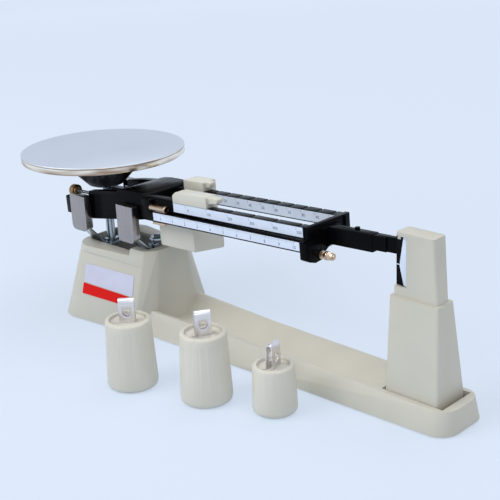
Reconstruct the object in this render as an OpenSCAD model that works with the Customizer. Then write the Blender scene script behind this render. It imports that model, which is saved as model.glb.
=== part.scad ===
// Triple beam precision balance with a round pan and three attachment weights.
// Millimetres, +Z up. +X runs along the beams to the pointer tower, and the front is -Y.
// The pieces are drawn from the point on the table straight below the main pivot, and then
// set as a whole about the part's origin, on the table under the middle of them all.
// Everything is drawn as it stands at rest: empty pan, all poises at zero,
// beam resting on its upper stop.

/* [Pan] */
// Diameter of the round pan
pan_diameter = 150; // [120:1:180]
// Height of the pan's top face above the table, at rest
pan_top_height = 150.5; // [140:0.5:165]
// Height of the turned-down rim of the pan
pan_rim_height = 6.8; // [4:0.1:10]
// Thickness of the pan's sheet
pan_sheet = 1.2; // [0.8:0.1:2]

/* [Lever] */
// Height of the main knife edge above the table
pivot_height = 100; // [95:0.5:105]
// Distance from the main knife edge to the pan's knife edge
short_arm = 68; // [60:0.5:75]
// Height of the hidden check link's pin above the table
link_height = 40; // [38:1:48]
// How far the beam is tilted up at rest, on its upper stop
rest_tilt = 2.8; // [0:0.1:4]

/* [Beams] */
// Distance from the main knife edge to the end plate that ties the beams
beam_reach = 202; // [190:1:210]
// Height of the notched top faces of the middle and rear beams, beam level
rail_top = 122.7; // [118:0.1:128]
// Height of a notched beam's section
rail_height = 9.2; // [7:0.1:12]
// Depth of the middle beam from front to back
mid_rail_depth = 8; // [6:0.5:10]
// Depth of the rear beam from front to back
rear_rail_depth = 10; // [8:0.5:12]
// Y of the middle beam's front face
mid_rail_front = -25; // [-28:0.5:-22]
// Y of the rear beam's front face
rear_rail_front = 12; // [10:0.5:16]
// Y of the front beam's front face
front_rail_front = -29.5; // [-32:0.5:-27]
// Height of the front beam's top face, beam level
front_rail_top = 112.7; // [110:0.1:114]
// Height of the front beam's section
front_rail_height = 8.4; // [7:0.1:10]
// Distance from the main knife edge to the pointer's tip
pointer_reach = 274.8; // [265:0.1:276]

/* [Base] */
// Half width of the housing's foot in line with the main pivot
housing_half_width = 48; // [44:0.5:52]
// How much the housing narrows on each side per millimetre along X
housing_taper = 0.13; // [0.08:0.005:0.18]
// Left end of the base
base_left = -88; // [-94:1:-86]
// Right end of the base
base_right = 331; // [328:1:340]
// Height of the housing's top
housing_top = 72.5; // [68:0.5:78]
// Height of the lower deck on the pan's side of the housing
deck_top = 66.5; // [64:0.5:70]
// Height of the tray's rim
tray_rim = 19; // [15:0.5:24]
// Thickness of the cast walls
wall = 3.2; // [2.5:0.1:5]

/* [Tower] */
// Height of the tower's top
tower_top = 139.5; // [135:0.5:145]
// Height of the ledge where the tower steps in
tower_ledge = 91; // [85:0.5:100]
// Height of the zero mark, where the pointer stands when balanced
zero_height = 114; // [112:0.5:116]

/* [Weights] */
// Bottom diameter of the two large attachment weights
large_diameter = 41; // [36:0.5:46]
// Height of the large weights' body
large_height = 57; // [50:0.5:64]
// Bottom diameter of the small attachment weight
small_diameter = 34.6; // [30:0.1:40]
// Height of the small weight's body
small_height = 38.5; // [32:0.5:45]
// Width of a weight's hanging loop
loop_w = 12.5; // [10:0.5:16]
// Height of the hanging loop above the weight's rim
loop_h = 17; // [14:0.5:22]

/* [Fits] */
// Gap between pieces that are fastened together
seat = 0.05; // [0.02:0.01:0.1]
// Radial gap of a turning fit
run_fit = 0.08; // [0.02:0.01:0.1]
// Gap between a sliding piece and its beam
slide_fit = 0.2; // [0.1:0.05:0.4]

/* [Hidden] */

cream = [0.80, 0.79, 0.70];
black = [0.07, 0.07, 0.08];
steel = [0.72, 0.73, 0.75];
brass = [0.72, 0.58, 0.32];
white = [0.92, 0.93, 0.98];

// Knife edges, arms and straps
arm_in = 20;
arm_out = 26;
knife_out = 34;
strap_in = 27.5;
strap_t = 1.5;
strap_w = 16;
bearing_in = strap_in + strap_t + seat;
bearing_t = 4.2;
cover_face = 35;
cover_t = 0.8;
cover_w = 21.6;
pan_knife_x = -short_arm * cos(rest_tilt);
pan_knife_z = pivot_height - short_arm * sin(rest_tilt);
link_z = link_height;
stem_pin_z = link_height - short_arm * sin(rest_tilt);
bridge_top = 64.4;
bridge_t = 3.4;
strap_bottom = bridge_top + seat;
pan_strap_bottom = deck_top - 8;
stem_top = pan_top_height - 28.5;
bolt_d = 6;
pin_d = 4;
stem_d = 8;

// Base
draft_front = 0.285;
foot_gap = 1;
foot_positions = [[-62, 44], [-62, -44], [302, 12], [302, -12]];
well_left = -77.2;
well_right = 11;
step_x = -5;
tray_floor = 5;
tower_x0 = 270;
tower_x1 = 317;
cavity_y = 5;
cavity_x0 = 275.2;
cavity_x1 = 302.8;
window_z0 = 98.2;
window_z1 = 136.5;
window_x1 = 282;
slot_top = 133.3;
pad_t = 0.95;
tower_screw_x = [281, 305];

// Beam
end_plate_t = 4;
arm_z0 = 105.3;
arm_z1 = 118.9;
arm_y = 4;
tongue_x = 250;
tongue_z0 = 107.2;
tongue_y = 2;
rail_bottom = rail_top - rail_height;
front_rail_bottom = front_rail_top - front_rail_height;
front_rail_depth = 8;
strip_t = 0.4;
notch_mid = [for (i = [0:5]) 72 + i * 24.7];
notch_rear = [for (i = [0:10]) 49 + i * 14.7];
stud_y = -14.5;
stud_z = 100;
rod_y = -23;
rod_z = 116;
knob_x0 = -88.8;
knob_x1 = -80.2;
knob_d = 11;

// Poises
carriage_x0 = 57;
carriage_x1 = 98;
block_x0 = 26;
block_x1 = 70;
block_y0 = -18;
block_y1 = 16.5;
web_x1 = 70;
web_y0 = mid_rail_front + mid_rail_depth + 0.6;
block_top = 103;
poise_top = 132.3;
rear_poise_x0 = 30;
rear_poise_x1 = 54.6;
rider_x0 = 31.5;
rider_x1 = 51;
rider_t = 0.5;

// Hanging loops of the weights
loop_d = 5.8;
loop_t = 1;
loop_hole = 7;
loop_hole_z = 5.6;

// A leaning beam: everything on it is drawn level and tilted about the main knife
module on_beam() {
  translate([0, 0, pivot_height]) rotate([0, -rest_tilt, 0])
    translate([0, 0, -pivot_height]) children();
}

module both_sides() {
  children();
  mirror([0, 1, 0]) children();
}

// A profile in X and Z, drawn between two Y values
module slab_xz(y0, y1, points) {
  translate([0, y1, 0]) rotate([90, 0, 0]) linear_extrude(y1 - y0) polygon(points);
}

// A profile in Y and Z, drawn between two X values
module slab_yz(x0, x1, points) {
  translate([x0, 0, 0]) rotate([90, 0, 90]) linear_extrude(x1 - x0) polygon(points);
}

module box(x0, x1, y0, y1, z0, z1) {
  translate([x0, y0, z0]) cube([x1 - x0, y1 - y0, z1 - z0]);
}

module along_y(x, z, y0, y1, d, fn = 48) {
  translate([x, y1, z]) rotate([90, 0, 0]) cylinder(d = d, h = y1 - y0, $fn = fn);
}

module along_x(y, z, x0, x1, d, fn = 48) {
  translate([x0, y, z]) rotate([0, 90, 0]) cylinder(d = d, h = x1 - x0, $fn = fn);
}

// Housing outline at one height: three round corners on each side of a narrowing plan
function half_at(x, z) = housing_half_width - housing_taper * x - draft_front * z;
function level(z, low, high) = low + (high - low) * (z - foot_gap) / (housing_top - foot_gap);

module housing_ring(z, inset, h = 0.02) {
  rl = level(z, 24, 20.5);
  rm = level(z, 6, 5);
  rr = level(z, 4.5, 4);
  xl = base_left + level(z, 0, 10) + rl;
  xr = level(z, 23, 20);
  for (s = [-1, 1]) {
    translate([xl, s * (half_at(xl, z) - 1.009 * rl), z])
      cylinder(r = rl - inset, h = h, $fn = 32);
    translate([9, s * (half_at(9, z) - 1.009 * rm), z])
      cylinder(r = rm - inset, h = h, $fn = 32);
    translate([xr - rr, s * (level(z, 28.3, 18.5) - rr), z])
      cylinder(r = rr - inset, h = h, $fn = 32);
  }
}

// Section across the tray: half widths at its foot and at its rim
module tray_face(x, low, rim) {
  slab_yz(x, x + 0.02, [[-low, foot_gap], [low, foot_gap], [rim, tray_rim], [-rim, tray_rim]]);
}

// Section across the trough, by its half width at the rim
module trough_face(x, rim) {
  slab_yz(x, x + 0.02, [[-rim - 1.08, tray_rim + 1], [16.2 - rim, tray_rim - 15],
    [rim - 16.2, tray_rim - 15], [rim + 1.08, tray_rim + 1]]);
}

// Tray with sloping trough walls, a ramp at its end, and the tower's pocket
module tray() {
  difference() {
    union() {
      hull() { tray_face(6, 39.8, 29.7); tray_face(119.98, 34.8, 23.8); }
      hull() {
        tray_face(120, 34.8, 23.8);
        for (s = [-1, 1]) {
          translate([base_right - 16, s * 11, foot_gap]) cylinder(r = 16, h = 0.02, $fn = 48);
          translate([base_right - 15, s * 8.5, tray_rim - 0.02])
            cylinder(r = 13, h = 0.02, $fn = 48);
        }
      }
    }
    hull() { trough_face(15, 26.24); trough_face(130, 20.28); }
    hull() {
      trough_face(110, 20.91);
      trough_face(246, 19.4);
      slab_yz(262, 262.02, [[-19.22, tray_rim], [19.22, tray_rim], [20.3, tray_rim + 1],
        [-20.3, tray_rim + 1]]);
    }
    box(267.6, 321.6, -17.6, 17.6, tray_floor, tray_rim + 1);
    // Channels on the underside, one along each side
    both_sides() {
      slab_yz(30, 118, [[8.6, -1], [21.4, 11], [25, 11], [32.2, -1]]);
      slab_yz(122, 250, [[4, -1], [17.9, 12], [21.9, 12], [27.3, -1]]);
    }
  }
}

module base_casting() {
  color(cream) difference() {
    union() {
      difference() {
        union() {
          hull() { housing_ring(foot_gap, 0); housing_ring(housing_top - 0.02, 0); }
          tray();
        }
        // Hollow of the housing, open below
        difference() {
          hull() { housing_ring(-1, wall); housing_ring(housing_top - wall, wall); }
          box(-200, step_x + wall, -60, 60, deck_top - wall, 80);
        }
        // Lower deck on the pan's side
        box(-200, step_x, -60, 60, deck_top, 80);
      }
      // Bridge across the housing that carries the stand
      translate([0, 0, bridge_top - bridge_t]) linear_extrude(bridge_t)
        polygon([[-12, -29.9], [12, -26.4], [12, 26.4], [-12, 29.9]]);
      // Pads over the left feet
      for (s = [-1, 1]) translate([-62, s * 44, foot_gap]) cylinder(r = 9.5, h = 5, $fn = 48);
    }
    // Opening in the housing's top for the straps, down to the bridge
    translate([0, 0, bridge_top]) linear_extrude(20) polygon([[well_left, -16],
      [well_left + 6, -21], [well_right, -19], [well_right, 19], [well_left + 6, 21],
      [well_left, 16]]);
    translate([0, 0, deck_top - wall - 1]) linear_extrude(20) polygon([[well_left, -16],
      [well_left + 6, -21], [-12, -19.8], [-12, 19.8], [well_left + 6, 21],
      [well_left, 16]]);
    // Shallow recess along the front wall, deepest at its upper left, fading away below
    recess();
    // Seats of the feet
    for (p = foot_positions) translate([p[0], p[1], -1]) cylinder(d = 12.2, h = 4, $fn = 48);
    // Holes of the tower's screws, and of the stand's bolt
    for (x = tower_screw_x) {
      translate([x, 0, -1]) cylinder(d = 9, h = 4.4, $fn = 48);
      translate([x, 0, 1]) cylinder(d = 4.4, h = 6, $fn = 48);
    }
    translate([0, 0, 50]) cylinder(d = bolt_d + 0.3, h = 30, $fn = 48);
  }
}

module recess() {
  z = 61.4;
  x = -60;
  o = [x, -half_at(x, z), z];
  multmatrix([
    [wall_u[0], wall_v[0], wall_n[0], o[0]],
    [wall_u[1], wall_v[1], wall_n[1], o[1]],
    [wall_u[2], wall_v[2], wall_n[2], o[2]],
    [0, 0, 0, 1]])
    rotate([0, -1.15, -2.6]) translate([-14, 0, 0]) rotate([90, 0, 90]) linear_extrude(86)
      polygon([[0.7, 1.6], [0, -1.7], [-9.4, 0], [-9.4, 1.6]]);
}

module rubber_feet() {
  color(black) for (p = foot_positions) translate([p[0], p[1], 0]) difference() {
    cylinder(d = 12, h = 3 - seat, $fn = 48);
    translate([0, 0, -1]) cylinder(d = 4, h = 2.2, $fn = 32);
  }
}

// Tower: a rectangle with round corners at one height
module tower_ring(z, x0, x1, y, r = 2.5, h = 0.02) {
  for (x = [x0 + r, x1 - r], s = [-1, 1])
    translate([x, s * (y - r), z]) cylinder(r = r, h = h, $fn = 32);
}

module tower_casting() {
  color(cream) difference() {
    union() {
      translate([0, 0, 0]) hull() {
        tower_ring(tray_floor + seat, tower_x0, tower_x1, 17);
        tower_ring(tray_rim, tower_x0, tower_x1, 17);
      }
      hull() {
        tower_ring(tray_rim, tower_x0, tower_x1, 17);
        tower_ring(tower_ledge - 0.02, 268.5, 311.2, 9.8);
      }
      hull() {
        tower_ring(tower_ledge - 1, 270, 309, 7.2);
        tower_ring(tower_top - 0.02, 273, 305.4, 7.6);
      }
    }
    // Hollow of the lower part, open to the upper one
    hull() {
      tower_ring(9, tower_x0 + 3.5, tower_x1 - 3.5, 13);
      tower_ring(tower_ledge - 4, 272, 307.5, 6.4);
    }
    // Upper hollow, with the pointer's slot to the left
    box(cavity_x0, cavity_x1, -cavity_y, cavity_y, tower_ledge - 5, 137);
    box(255, cavity_x0 + 1, -cavity_y, cavity_y, window_z0, slot_top);
    // Window in the front wall, open to the left
    box(255, window_x1, -20, -cavity_y + 0.1, window_z0, window_z1);
    for (x = tower_screw_x) translate([x, 0, 4]) cylinder(d = 3.3, h = 4, $fn = 48);
  }
}

module tower_screws() {
  color(steel) for (x = tower_screw_x) difference() {
    union() {
      translate([x, 0, 1.2]) cylinder(d = 8, h = 2.2 - seat, $fn = 48);
      translate([x, 0, 1.2]) cylinder(d = 3.2, h = 6.6, $fn = 48);
    }
    box(x - 5, x + 5, -0.5, 0.5, 1, 2);
  }
}

// Rubber pads the pointer comes to rest on, above and below
module stop_pads() {
  color(black) {
    box(271.2, cavity_x0, -3.6, 3.6, slot_top - pad_t - seat, slot_top - seat);
    box(271.2, cavity_x0, -3.6, 3.6, window_z0 + seat, window_z0 + pad_t + seat);
  }
}

module dial_plate() {
  color(white) slab_xz(-cavity_y + seat, -cavity_y + seat + 0.7,
    [[278.2, window_z0 + 0.4], [274.6, zero_height - 1.6], [274.6, zero_height + 1.6],
     [277.8, window_z1 - 0.4], [290, window_z1 - 0.4], [290, window_z0 + 0.4]]);
}

module dial_back() {
  color(black) box(272.8, 283.5, cavity_y - seat - 0.8, cavity_y - seat, window_z0 + 0.3,
    slot_top - 0.3);
}

module damper_magnets() {
  color(steel) both_sides()
    box(291.2, 301.8, 2.4, cavity_y - seat, 104, 122);
}

// Frame of the housing's sloping front wall
wall_u = [1, housing_taper, 0] / norm([1, housing_taper, 0]);
wall_n = [housing_taper, -1, draft_front] / norm([housing_taper, -1, draft_front]);
wall_v = cross(wall_n, wall_u);

module label_plate() {
  x = -24;
  z = 36.5;
  o = [x, -half_at(x, z), z] + wall_n * 0.04;
  color(white) multmatrix([
    [wall_u[0], wall_v[0], wall_n[0], o[0]],
    [wall_u[1], wall_v[1], wall_n[1], o[1]],
    [wall_u[2], wall_v[2], wall_n[2], o[2]],
    [0, 0, 0, 1]])
    rotate([0, 0, -1.3]) translate([-31.5, -13.4, 0]) cube([61.5, 28.2, 0.4]);
}

// U-shaped strap: flat foot, slanted sides, upright arms
module strap(z0, foot, z_bend, z_top, window_z, window_h) {
  difference() {
    slab_yz(-strap_w / 2, strap_w / 2, [
      [-strap_in - strap_t, z_top], [-strap_in - strap_t, z_bend],
      [-foot - 0.7, z0], [foot + 0.7, z0], [strap_in + strap_t, z_bend],
      [strap_in + strap_t, z_top], [strap_in, z_top], [strap_in, z_bend + 0.5],
      [foot, z0 + strap_t], [-foot, z0 + strap_t], [-strap_in, z_bend + 0.5],
      [-strap_in, z_top]]);
    box(-5, 5, -60, 60, window_z, window_z + window_h);
  }
}

module stand_strap() {
  color(steel) difference() {
    strap(strap_bottom, 9.8, housing_top + 11.5, pivot_height + 7, pivot_height - 3.5, 20);
    translate([0, 0, 60]) cylinder(d = bolt_d + 0.3, h = 10, $fn = 48);
  }
}

module link_bracket() {
  top = bridge_top - bridge_t - seat;
  color(steel) difference() {
    slab_yz(-7, 7, [[-7, link_z - 6], [-7, top], [7, top], [7, link_z - 6],
      [5.5, link_z - 6], [5.5, top - 1.5], [-5.5, top - 1.5], [-5.5, link_z - 6]]);
    translate([0, 0, 50]) cylinder(d = bolt_d + 0.3, h = 20, $fn = 48);
    along_y(0, link_z, -20, 20, pin_d + 2 * seat);
  }
}

module stand_bolt() {
  z = bridge_top - bridge_t - 1.5 - 2 * seat;
  color(steel) union() {
    translate([0, 0, z - 4]) cylinder(d = 10, h = 4, $fn = 6);
    translate([0, 0, z - 4]) cylinder(d = bolt_d, h = 79.6 - z + 4, $fn = 48);
  }
}

module stand_nut() {
  z = strap_bottom + strap_t + seat;
  color(steel) difference() {
    union() {
      translate([0, 0, z]) cylinder(d = 18.4, h = 1.4, $fn = 64);
      translate([0, 0, z + 1.4]) cylinder(d = 17, h = 5, $fn = 6);
      translate([0, 0, z + 6.4]) cylinder(d = 10.5, h = 0.8, $fn = 48);
      translate([0, 0, z + 7.2]) cylinder(d = 14, h = 4, $fn = 6);
    }
    translate([0, 0, z - 1]) cylinder(d = bolt_d + 2 * seat, h = 20, $fn = 48);
  }
}

module base_pin() {
  color(steel) union() {
    along_y(0, link_z, -8.4, 8.4, pin_d);
    along_y(0, link_z, -9.4, -7.1, 6);
    along_y(0, link_z, 7.1, 9.4, 6);
  }
}

// Bearing: a block with a V groove the knife edge stands in
module bearing(up) {
  both_sides() slab_xz(bearing_in, bearing_in + bearing_t, up
    ? [[-7, -9], [7, -9], [7, 3.4], [4.6, 2.3], [0, -0.06], [-4.6, 2.3], [-7, 3.4]]
    : [[-7, 9], [7, 9], [7, -3.4], [4.6, -2.3], [0, 0.06], [-4.6, -2.3], [-7, -3.4]]);
}

module main_bearings() {
  color(black) translate([0, 0, pivot_height]) bearing(true);
}

// Folded sheet cover with a slightly rounded foot
module cover_shell(x, z0, z1) {
  w = cover_w / 2;
  difference() {
    union() {
      box(x - w, x + w, strap_in + 0.1, cover_face, z0 + 5, z1);
      box(x - w + 5, x + w - 5, strap_in + 0.1, cover_face, z0, z0 + 6);
      for (s = [-1, 1]) along_y(x + s * (w - 5), z0 + 5, strap_in + 0.1, cover_face, 10);
    }
    box(x - w + cover_t, x + w - cover_t, 0, cover_face - cover_t, z0 - 1, z1 - cover_t);
  }
}

module main_covers() {
  color(steel) both_sides() cover_shell(0, housing_top + 9, pivot_height + 14.8);
}

module pan_covers() {
  color(steel) both_sides() cover_shell(pan_knife_x, deck_top + 12.5, pan_knife_z + 15.9);
}

// The black lever casting: fork, cross bar, three beams, end plate and pointer arm
module beam_casting() {
  fork = [[-97.5, 94], [-97.5, 109.4], [-96.5, 110.4], [-93.4, 110.4], [-92, 109], [-66, 109],
    [-62, 112], [-60, 119], [-40, 121.5], [-8, 124], [24, 124], [24, 104], [10, 101.5],
    [-30, 96.5], [-58, 93]];
  color(black) on_beam() difference() {
    union() {
      both_sides() slab_xz(arm_in, arm_out, fork);
      // Broad cross bar with a slightly domed top
      slab_xz(-arm_out, arm_out, [[-19, 111], [-19, 123.2], [-17.6, 124.4], [-11, 125.6],
        [-3, 126.2], [8, 126.2], [15, 125.8], [19, 124.8], [20, 123.6], [20, 110]]);
      // Root of the front and middle beams, with upright ribs
      box(20, 30.8, front_rail_front, mid_rail_front + mid_rail_depth, front_rail_bottom,
        rail_top);
      box(24, 56, mid_rail_front + 0.8, mid_rail_front + mid_rail_depth, rail_bottom,
        rail_top + 1.2);
      box(12, 29, rear_rail_front, rear_rail_front + rear_rail_depth, rail_bottom - 2,
        rail_top);
      // The three beams
      box(20, beam_reach + 1, mid_rail_front, mid_rail_front + mid_rail_depth, rail_bottom,
        rail_top);
      box(20, beam_reach + 1, rear_rail_front, rear_rail_front + rear_rail_depth,
        rail_bottom, rail_top);
      box(20, beam_reach + 1, front_rail_front, front_rail_front + front_rail_depth,
        front_rail_bottom, front_rail_top);
      // End plate with its lower front lobe
      slab_yz(beam_reach, beam_reach + end_plate_t, [[-24.6, rail_top],
        [-24.6, 114], [-29.9, 112.9], [-29.9, 99], [-26.5, 96.8], [-20, 94.6],
        [-11.5, 95.4], [-10.6, 97], [-5, 100], [arm_y, arm_z0], [14, 110.4], [24.4, 110.4],
        [24.4, rail_top]]);
      // Ribs on the end plate
      slab_yz(beam_reach + end_plate_t - 0.5, beam_reach + end_plate_t + 2.2,
        [[-29.9, 111.8], [-29.9, 99], [-26.5, 96.8], [-20, 94.6], [-11.5, 95.4],
         [-10.6, 97], [-10.6, 104], [-13, 111.8]]);
      box(beam_reach + 3, beam_reach + 5.4, 17.5, 19.5, 111, 122);
      box(beam_reach + 3, beam_reach + 6.6, -9, 10, 116.6, 118.9);
      // Pointer arm, with a gusset at its root, and the thinner tongue
      box(beam_reach + 2, tongue_x, -arm_y, arm_y, arm_z0, arm_z1);
      slab_xz(-arm_y, arm_y, [[beam_reach + 2, 101], [beam_reach + 9, arm_z0],
        [beam_reach + 9, arm_z0 + 4], [beam_reach + 2, arm_z0 + 4]]);
      slab_xz(-arm_y + 0.6, arm_y - 0.6, [[tongue_x - 2, tongue_z0], [262, tongue_z0],
        [262, arm_z1 - 0.4], [tongue_x - 2, arm_z1 - 0.4]]);
      slab_xz(-tongue_y, tongue_y, [[255, tongue_z0], [pointer_reach - 0.6, tongue_z0],
        [pointer_reach, tongue_z0 + 0.6], [pointer_reach, arm_z1 - 0.6],
        [pointer_reach - 0.6, arm_z1], [255, arm_z1]]);
    }
    // Notches of the middle and rear beams
    for (x = notch_mid) slab_xz(mid_rail_front - 1, mid_rail_front + mid_rail_depth + 0.2,
      [[x - 1.1, rail_top + 2], [x - 1.1, rail_top], [x, rail_top - 1.5],
       [x + 1.1, rail_top], [x + 1.1, rail_top + 2]]);
    for (x = notch_rear) slab_xz(rear_rail_front - 1,
      rear_rail_front + rear_rail_depth + 0.2,
      [[x - 1.1, rail_top + 2], [x - 1.1, rail_top], [x, rail_top - 1.5],
       [x + 1.1, rail_top], [x + 1.1, rail_top + 2]]);
    // Seats of the knives, the rod, the stud, the vane and the arm's pin
    both_sides() knife_hole(0, false);
    both_sides() knife_hole(-short_arm, true);
    along_x(rod_y, rod_z, -72, -50, 3 + 2 * seat);
    along_x(stud_y, stud_z, beam_reach - 5, beam_reach + 8, 3.3 + 2 * seat);
    box(258, pointer_reach + 1, -0.6 - seat, 0.6 + seat, 109, 117.4);
    translate([232, 2, 112]) cylinder(d = 2 + 2 * seat, h = 10, $fn = 32);
  }
}

// Knife profile: point down at the main pivot, point up at the pan's
function knife_points(up, g = 0) = up
  ? [[0, g], [2.6 + g, -3.4], [2.6 + g, -6.6 - g], [-2.6 - g, -6.6 - g], [-2.6 - g, -3.4]]
  : [[0, -g], [2.6 + g, 3.4], [2.6 + g, 6.6 + g], [-2.6 - g, 6.6 + g], [-2.6 - g, 3.4]];

module knife_hole(x, up) {
  translate([x, 0, pivot_height]) slab_xz(arm_in + 1.5, arm_out + 1, knife_points(up, seat));
}

module knife_pair(x, up) {
  translate([x, 0, pivot_height]) both_sides()
    slab_xz(arm_in + 1.5 + seat, knife_out - 0.4, knife_points(up));
}

module main_knives() {
  color(steel) on_beam() knife_pair(0, false);
}

module pan_knives() {
  color(steel) on_beam() knife_pair(-short_arm, true);
}

module scale_front() {
  color(white) on_beam() box(34.2, beam_reach - 0.1, front_rail_front - seat - strip_t,
    front_rail_front - seat, front_rail_bottom + 1.2, front_rail_top - 0.4);
}

module scale_middle() {
  color(white) on_beam() box(56.6, beam_reach - 0.1, mid_rail_front - seat - strip_t,
    mid_rail_front - seat, rail_bottom + 1.4, rail_top - 0.2);
}

module scale_rear() {
  color(white) on_beam() box(40, beam_reach - 0.1, rear_rail_front - seat - strip_t,
    rear_rail_front - seat, rail_bottom + 1, rail_top - 0.2);
}

// Stud with two collars, from which the attachment weights hang
module hanger_stud() {
  x = beam_reach + end_plate_t + 2.2 + seat;
  color(brass) on_beam() union() {
    along_x(stud_y, stud_z, beam_reach - 4, x + 14, 3.3);
    along_x(stud_y, stud_z, x, x + 2.6, 6.6);
    along_x(stud_y, stud_z, x + 2.6, x + 6.2, 3.3);
    along_x(stud_y, stud_z, x + 6.2, x + 8.2, 7);
    translate([x + 8.2, stud_y, stud_z]) rotate([0, 90, 0]) cylinder(d = 6.4, h = 3, $fn = 6);
    along_x(stud_y, stud_z, x + 11.2, x + 13.2, 5.4);
  }
}

module balance_rod() {
  color(steel) on_beam() along_x(rod_y, rod_z, -90, -51, 3);
}

module arm_pin() {
  color(black) on_beam() union() {
    translate([232, 2, 112.5]) cylinder(d = 2, h = 7, $fn = 32);
    translate([232, 2, arm_z1 + seat]) cylinder(d = 4, h = 1.7, $fn = 48);
  }
}

module damping_vane() {
  color(black) on_beam() slab_xz(-0.6, 0.6, [[259, 109.4], [pointer_reach + 0.6, 109.4],
    [278, 104.6], [300.2, 104.6], [300.2, 116.6], [278, 117], [259, 117]]);
}

// Knurled brass knob on its threaded rod
module zero_knob() {
  color(brass) on_beam() difference() {
    union() {
      along_x(rod_y, rod_z, knob_x0, knob_x0 + 1.6, knob_d - 2);
      along_x(rod_y, rod_z, knob_x0 + 1.6, knob_x1 - 2, knob_d);
      along_x(rod_y, rod_z, knob_x1 - 2, knob_x1, knob_d - 3);
    }
    along_x(rod_y, rod_z, knob_x0 - 1, knob_x1 + 1, 3 + 2 * run_fit);
    for (a = [0:15:345]) translate([0, rod_y, rod_z]) rotate([a, 0, 0])
      box(knob_x0 + 2, knob_x1 - 2.4, knob_d / 2 - 0.35, knob_d / 2 + 1, -0.3, 0.3);
  }
}

module pan_stirrup() {
  color(steel) difference() {
    translate([pan_knife_x, 0, 0])
      strap(pan_strap_bottom, 9, deck_top + 13.5, pan_knife_z + 9.3, pan_knife_z - 8.6, 12);
    translate([pan_knife_x, 0, pan_strap_bottom - 5])
      cylinder(d = stem_d - 2 + 2 * seat, h = 12, $fn = 48);
  }
}

module pan_bearings() {
  color(black) translate([pan_knife_x, 0, pan_knife_z]) bearing(false);
}

// Stem from the hub down to the check link, with a fork at its foot
module pan_stem() {
  color(steel) difference() {
    union() {
      translate([pan_knife_x, 0, pan_strap_bottom + strap_t + seat])
        cylinder(d = stem_d, h = stem_top - pan_strap_bottom - strap_t - seat, $fn = 48);
      translate([pan_knife_x, 0, pan_strap_bottom + strap_t + seat])
        cylinder(d = 14, h = 3.2, $fn = 64);
      translate([pan_knife_x, 0, stem_pin_z + 8.3])
        cylinder(d = stem_d - 2, h = 40, $fn = 48);
      box(pan_knife_x - 5, pan_knife_x + 5, -5, 5, stem_pin_z - 6, stem_pin_z + 11);
    }
    box(pan_knife_x - 6, pan_knife_x + 6, -2.4, 2.4, stem_pin_z - 7, stem_pin_z + 7.5);
    along_y(pan_knife_x, stem_pin_z, -6, 6, pin_d + 2 * seat);
  }
}

module stem_nut() {
  color(steel) translate([pan_knife_x, 0, pan_strap_bottom - seat - 4]) difference() {
    cylinder(d = 11, h = 4, $fn = 6);
    translate([0, 0, -1]) cylinder(d = stem_d - 2 + 2 * seat, h = 6, $fn = 48);
  }
}

module stem_pin() {
  color(steel) union() {
    along_y(pan_knife_x, stem_pin_z, -6.4, 6.4, pin_d);
    along_y(pan_knife_x, stem_pin_z, -7.4, -5.1, 5.6);
    along_y(pan_knife_x, stem_pin_z, 5.1, 7.4, 5.6);
  }
}

module check_link() {
  d = [-short_arm, 0, 0];
  color(steel) translate([0, 0, link_z]) rotate([0, -rest_tilt, 0]) difference() {
    union() {
      along_y(0, 0, -2, 2, 10);
      along_y(-short_arm, 0, -2, 2, 10);
      box(-short_arm, 0, -1.2, 1.2, -3.2, 3.2);
    }
    along_y(0, 0, -5, 5, pin_d + 2 * run_fit);
    along_y(-short_arm, 0, -5, 5, pin_d + 2 * run_fit + 0.16);
  }
}

// Black cone that carries the pan
module pan_hub() {
  top = pan_top_height - pan_sheet - seat;
  color(black) translate([pan_knife_x, 0, 0]) difference() {
    rotate_extrude($fn = 96) polygon([[0, top - 34], [13, top - 34], [16.4, top - 32.6],
      [19.6, top - 29.4], [25, top - 23.6], [30.6, top - 18.8], [33.8, top - 16.6],
      [34.6, top - 15.6], [34.6, top - 11.8], [33.6, top - 10.8], [25, top - 7.6], [25, top],
      [20, top], [20, top - 8.2], [16, top - 15.2], [8, top - 19.2], [0, top - 19.2]]);
    translate([0, 0, stem_top - 22]) cylinder(d = stem_d + 2 * seat, h = 22 + seat, $fn = 48);
  }
}

// Shallow stainless pan: flat top, rolled shoulder, turned-down rim, low ring below
module pan_plate() {
  r = pan_diameter / 2;
  t = pan_top_height;
  b = t - pan_rim_height;
  s = pan_sheet;
  color(steel) translate([pan_knife_x, 0, 0]) union() {
    translate([0, 0, t - s]) cylinder(r = r - 1.6, h = s, $fn = 180);
    difference() {
      translate([0, 0, b + 0.4]) cylinder(r = r, h = pan_rim_height - 0.9, $fn = 180);
      translate([0, 0, b - 1]) cylinder(r = r - s, h = pan_rim_height + 3, $fn = 180);
    }
    rotate_extrude($fn = 180) polygon([[r - 3, t], [r - 1.1, t - 0.06], [r - 0.35, t - 0.3],
      [r - 0.08, t - 0.9], [r - 0.6, t - 1.6], [r - 1.6, t - s - 0.3], [r - 3, t - s]]);
    rotate_extrude($fn = 180) polygon([[r, b + 0.5], [r - 0.25, b + 0.06], [r - 0.7, b],
      [r - 2, b], [r - 2, b + 0.7], [r - s - 0.1, b + 0.7]]);
    difference() {
      translate([0, 0, t - s - 5]) cylinder(r = 31, h = 5, $fn = 120);
      translate([0, 0, t - s - 6]) cylinder(r = 25 + slide_fit, h = 6, $fn = 120);
    }
  }
}

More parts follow.
